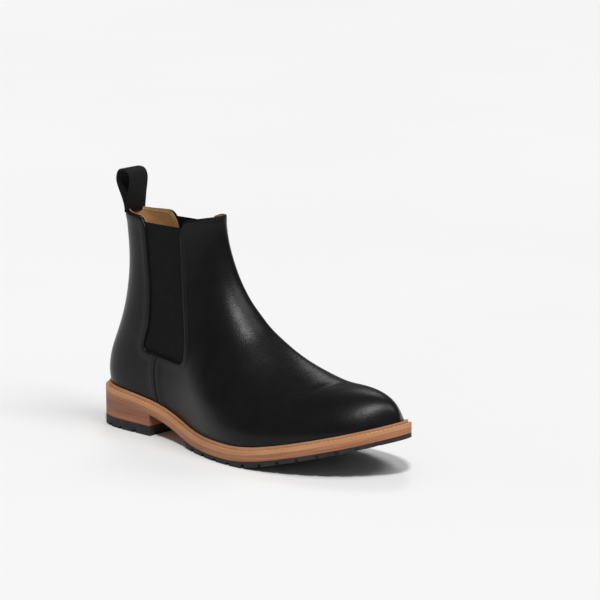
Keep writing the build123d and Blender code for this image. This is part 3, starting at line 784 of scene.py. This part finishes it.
def gore(name, lateral):
    """Ribbed elastic between the two panels, tucked under their edges."""
    heights = np.linspace(GORE_LOW, GORE_TOP, GORE_ROWS)
    level = np.maximum(heights, GORE_FOOT)
    rear = gore_rear[gore_rear[:, 1].argsort()]
    front = gore_front[gore_front[:, 1].argsort()]
    rear_x = np.interp(level, rear[:, 1], rear[:, 0]) - GORE_TUCK
    front_x = np.interp(level, front[:, 1], front[:, 0]) + GORE_TUCK
    columns = int((front_x - rear_x).mean() / RIB_PITCH) * POINTS_PER_RIB + 1
    across = np.linspace(0, 1, columns)
    x = rear_x[:, None] + across * (front_x - rear_x)[:, None]
    z = np.repeat(heights[:, None], columns, axis=1)
    c, theta = station_angle(x.ravel(), z.ravel(), lateral)
    ridge = np.tile(RIB_HEIGHT * np.cos(np.arange(columns) * TAU / POINTS_PER_RIB), GORE_ROWS)
    outer = on_last(c, theta, GORE_OUTSIDE - ridge)
    inner = on_last(c, theta, GORE_INSIDE + 0.6 * ridge)
    faces = strip_faces(GORE_ROWS, columns)
    piece = make_mesh(name, np.vstack([outer, inner]), faces, GORE_ELASTIC)
    tidy_normals(piece)
    return piece


lateral_elastic = gore("lateral_gore_elastic", True)
medial_elastic = gore("medial_gore_elastic", False)


# ---- Linings ----
LINING_OUTSIDE, LINING_INSIDE = 3.25, 4.25   # insets of its two faces from the last


def lining_outside(places, edge_distance):
    return np.full(len(places), LINING_OUTSIDE)


def lining_inside(places, edge_distance):
    """The lining's inner face: its stitched edges are pressed in, and the rest puckers slightly."""
    x, y, z = places.T
    pucker = 0.14 * np.sin(z / 3.1 + y / 5.0) * np.sin(x / 6.0 + z / 9.0)
    return LINING_INSIDE + pucker - 0.25 * (1 - smoothstep(edge_distance / 2.5))


front_lining = shell("front_lining_leather", front_boundary, front_rows, LINING_SPACING,
                     lining_outside, lining_inside, LINING)
back_lining = shell("back_lining_leather", back_boundary, rear_rows, LINING_SPACING,
                    lining_outside, lining_inside, LINING)


# ---- Pull tab ----
TAB_WIDTH, TAB_THICKNESS = 22.0, 1.7
TAB_LEAN = 2.0             # its foot lies this far forwards, and its top half as far backwards
TAB_FOOT_X, TAB_FOOT_Z = 20.5, 178.0
TAB_ROWS, TAB_COLUMNS = 281, 25
TAB_RIB = 0.10             # height of the ribs
TAB_EDGE = 0.93            # share of the half width at which the webbing starts to round off
# Half of its side view, from the sewn foot to the top: x and height from the foot.
TAB_SIDE = [(0.9, -3.0), (1.2, 1.0), (2.0, 5), (4.0, 11.5), (6.6, 19), (7.2, 26), (4.7, 30.6),
            (0, 31.6)]
tab_low, tab_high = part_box("pull_tab")
TAB_Y = (tab_low.y + tab_high.y) / 2 / MM   # the tab's middle in the frame


def pull_tab():
    """A loop of ribbed webbing: a strip that goes up, over and down again, with ribs across it."""
    side = np.array(TAB_SIDE, float)
    loop = np.vstack([side, side[-2::-1] * (-1, 1)])
    path = spline(loop)(np.linspace(0, 1, TAB_ROWS))
    ahead = np.gradient(path, axis=0)
    ahead /= np.linalg.norm(ahead, axis=1)[:, None]
    normal = np.column_stack([ahead[:, 1], -ahead[:, 0]])
    across = np.linspace(-1, 1, TAB_COLUMNS)
    beyond = np.clip((np.abs(across) - TAB_EDGE) / (1 - TAB_EDGE), 0, 1)
    edge = np.sqrt(np.clip(1 - beyond ** 2, 0.02, 1))
    rib = TAB_RIB * np.cos(np.arange(TAB_ROWS)[:, None] * TAU / 4 + across[None] * 9.0)
    points = []
    for sign in (1, -1):
        depth = sign * (TAB_THICKNESS / 2 * edge[None] + rib)
        x = path[:, 0][:, None] + normal[:, 0][:, None] * depth
        z = path[:, 1][:, None] + normal[:, 1][:, None] * depth
        lean = TAB_LEAN * (1 - 1.5 * smoothstep(z / 24))
        y = across[None] * TAB_WIDTH / 2 * (1 - 0.03 * smoothstep(z / 20))
        grid = np.stack([x + lean + TAB_FOOT_X, y - SIDE_SHIFT + TAB_Y, z + TAB_FOOT_Z], axis=-1)
        points.append(grid.reshape(-1, 3))
    piece = make_mesh("pull_tab_webbing", np.vstack(points), strip_faces(TAB_ROWS, TAB_COLUMNS), WEBBING)
    tidy_normals(piece, 70.0)
    return piece


tab = pull_tab()


# ---- Stitches of the upper ----
def stitch_line(line, distance, sign, lateral, inset=-0.36, facing=1):
    """A row beside a side-view line: places at an inset from the last, and their normals."""
    c, theta = station_angle(*shifted(line, sign * distance).T, lateral)
    return np.column_stack([on_last(c, theta, inset), facing * outward(c, theta)])


# A stitch's cross-sections: place along it and thickness, as shares of its length and width.
CAPSULE = [(-0.5, 0.35), (-0.36, 0.85), (0, 1), (0.36, 0.85), (0.5, 0.35)]


def stitches(name, paths, thread, pitch=2.5, length=1.9, width=0.55, sink=0.24):
    """Short thread capsules, one for each stitch, half sunk along paths of places and normals."""
    points, faces = [], []
    turns = np.linspace(0, TAU, 7)[:-1]
    for rough_path in paths:
        path = even(rough_path, 0.5)
        run_length = np.r_[0, np.cumsum(np.linalg.norm(np.diff(path[:, :3], axis=0), axis=1))]

        def at(distance):
            return np.array([np.interp(distance, run_length, column) for column in path.T])

        for middle in np.arange(pitch / 2, run_length[-1] - pitch / 3, pitch):
            here = at(middle)
            ahead = at(middle + 0.6)[:3] - at(middle - 0.6)[:3]
            ahead /= max(np.linalg.norm(ahead), 1e-9)
            up = here[3:] / max(np.linalg.norm(here[3:]), 1e-9)
            side = np.cross(up, ahead)
            first = len(points)
            for place, size in CAPSULE:
                centre = here[:3] + ahead * place * length - up * sink * abs(place)
                for t in turns:
                    spoke = math.cos(t) * side + math.sin(t) * up
                    points.append(centre + spoke * width / 2 * size)
            around = len(turns)
            faces += grid_faces(len(CAPSULE), around, close_columns=True, start=first)
            faces.append(tuple(range(first, first + around)))
            last = first + (len(CAPSULE) - 1) * around
            faces.append(tuple(reversed(range(last, last + around))))
    piece = make_mesh(name, points, faces, thread)
    tidy_normals(piece, 80.0)
    return piece


ROW_DISTANCES = (1.9, 4.3)    # of the two rows beside each seam, from its edge
COLLAR_DISTANCE, INSIDE_DISTANCE = 2.6, 2.3
stitch_lines = []
for lateral in (True, False):
    for distance in ROW_DISTANCES:
        stitch_lines.append(stitch_line(gore_front, distance, -1, lateral))
        stitch_lines.append(stitch_line(gore_rear[::-1], distance, 1, lateral))
        stitch_lines.append(stitch_line(seam_up, distance, 1, lateral))
upper_stitches = stitches("upper_stitches", stitch_lines, BLACK_THREAD)
top_lines = [stitch_line(front_collar, COLLAR_DISTANCE, -1, lateral) for lateral in (True, False)]
top_lines += [stitch_line(back_collar, COLLAR_DISTANCE, 1, lateral) for lateral in (True, False)]
collar_stitches = stitches("collar_stitches", top_lines, BLACK_THREAD)

# The same rows show inside, on the lining beside the gores and under the collar.
inside_lines = []
for lateral in (True, False):
    for line, sign in ((gore_front, -1), (gore_rear[::-1], 1), (front_collar, -1), (back_collar, 1)):
        inside_lines.append(stitch_line(line, INSIDE_DISTANCE, sign, lateral, LINING_INSIDE, -1))
lining_stitches = stitches("lining_stitches", inside_lines, CREAM_THREAD)

# The welt's lock stitches lie in its groove, on a flat path round the sole.
STITCH_INSET = 1.95
groove = inset_loop(outline, STITCH_INSET)
groove = np.vstack([groove, groove[:1]])
straight_up = np.tile((0.0, 0.0, 1.0), (len(groove), 1))
groove_path = np.column_stack([groove, welt_top(groove[:, 0]) - 0.1, straight_up])
welt_stitches = stitches("welt_stitches", [groove_path], CREAM_THREAD, pitch=3.6, length=3.1, width=1.0,
                         sink=0.5)

for piece, slot_name, stands_for in (
        (front_panel, "upper_leather", ["front_panel", "front_interlining"]),
        (back_panel, "upper_leather", ["back_panel", "back_interlining"]),
        (lateral_elastic, "elastic", ["lateral_gore"]), (medial_elastic, "elastic", ["medial_gore"]),
        (front_lining, "lining_leather", ["front_lining"]),
        (back_lining, "lining_leather", ["back_lining"]), (lining_stitches, "thread", []),
        (upper_stitches, "thread", []), (collar_stitches, "thread", []),
        (welt_stitches, "thread", ["welt_stitching"]), (tab, "webbing", ["pull_tab"])):
    if piece == tab:
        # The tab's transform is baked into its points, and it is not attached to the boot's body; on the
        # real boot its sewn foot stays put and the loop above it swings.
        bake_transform(piece)
    else:
        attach(piece, "boot")
    if stands_for:
        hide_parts(*stands_for)

# ---- Floor, light and camera ----
FLOOR_REACH = 9.0   # metres from the middle to each side
floor_corners = [(x * FLOOR_REACH, y * FLOOR_REACH, 0) for x, y in ((-1, -1), (1, -1), (1, 1), (-1, 1))]
floor_data = bpy.data.meshes.new("floor")
floor_data.from_pydata(floor_corners, [], [(0, 1, 2, 3)])
floor = bpy.data.objects.new("floor", floor_data)
bpy.context.collection.objects.link(floor)
FLOOR_PAPER = material("floor_paper", srgb(240, 240, 240), srgb(243, 243, 243), (0.85, 0.95), 0.002)
floor_data.materials.append(FLOOR_PAPER)


def toward(azimuth, elevation):
    """The direction of a place seen from the boot, in the camera's angles."""
    a, e = math.radians(azimuth), math.radians(elevation)
    return Vector((math.sin(a) * math.cos(e), -math.cos(a) * math.cos(e), math.sin(e)))


def softbox(name, azimuth, elevation, strength, spread):
    """A soft lamp as even over the floor as a far one, with its spread in degrees."""
    lamp = bpy.data.lights.new(name, "SUN")
    lamp.energy, lamp.angle = strength, math.radians(spread)
    made = bpy.data.objects.new(name, lamp)
    made.rotation_euler = toward(azimuth, elevation).to_track_quat("Z", "Y").to_euler()
    made.location = toward(azimuth, elevation) * 3
    bpy.context.collection.objects.link(made)


softbox("overhead", 44, 60, 1.9, 9)
softbox("right_side", 96, 56, 1.0, 28)
softbox("behind", 215, 52, 0.40, 18)
world = bpy.data.worlds.new("studio")
bpy.context.scene.world = world
world.use_nodes = True
world.node_tree.nodes["Background"].inputs["Color"].default_value = (0.93, 0.93, 0.93, 1)
world.node_tree.nodes["Background"].inputs["Strength"].default_value = 0.19

AZIMUTH, ELEVATION, DISTANCE = 42.21, 12.93, 2.715   # degrees, degrees, metres
FOCAL_LENGTH, SENSOR_WIDTH, CLIP_END = 205.4, 36, 100
TARGET = Vector((-0.0025, 0.00375, 0.090))           # what the camera circles
AIM_RIGHT, AIM_UP = 0.0396, 0.0286                   # from the target to the middle of the picture
away = toward(AZIMUTH, ELEVATION)
right = Vector((math.cos(math.radians(AZIMUTH)), math.sin(math.radians(AZIMUTH)), 0))
up = away.cross(right)
lens = bpy.data.cameras.new("camera")
lens.lens, lens.sensor_width, lens.clip_end = FOCAL_LENGTH, SENSOR_WIDTH, CLIP_END
camera = bpy.data.objects.new("camera", lens)
camera.location = TARGET + away * DISTANCE
aim = TARGET + right * AIM_RIGHT + up * AIM_UP
camera.rotation_euler = (aim - camera.location).to_track_quat("-Z", "Y").to_euler()
bpy.context.collection.objects.link(camera)
bpy.context.scene.camera = camera
bpy.context.scene.view_settings.view_transform = "Standard"

bpy.context.view_layer.update()
